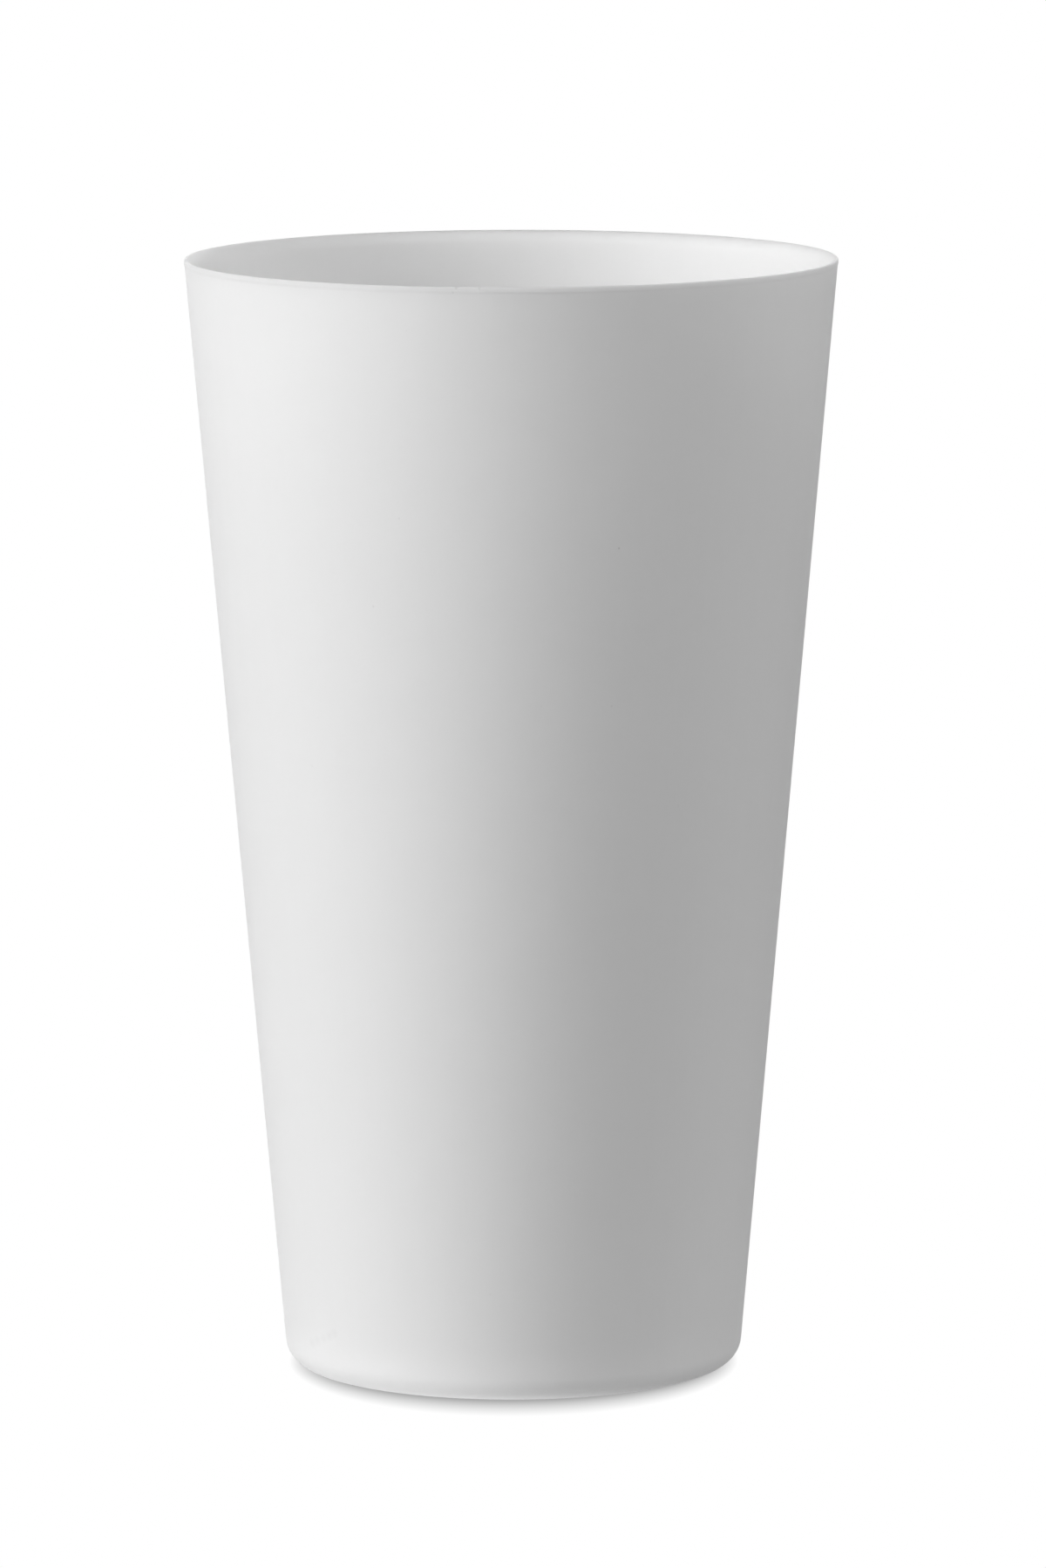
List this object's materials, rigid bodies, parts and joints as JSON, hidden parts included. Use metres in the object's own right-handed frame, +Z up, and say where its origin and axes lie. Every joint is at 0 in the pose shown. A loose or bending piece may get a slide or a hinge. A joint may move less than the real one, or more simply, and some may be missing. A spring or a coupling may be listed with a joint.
{
  "type": "reusable cup",
  "caption": "Tall tapered drinking cup moulded in one piece from frosted white plastic, with a full-round lip, a rounded foot and a recessed base.",
  "frame": {"origin": "middle of the base, on the plane that the cup stands on", "axes": "+Z up along the cup's axis, from the foot to the lip; X and Y are level and alike"},
  "size_m": [0.0874, 0.0874, 0.15],
  "materials": {
    "cup_plastic": "frosted translucent white polypropylene, fine satin mould finish"
  },
  "bodies": {
    "root": {"cup": "cup_plastic"}
  },
  "joints": []
}
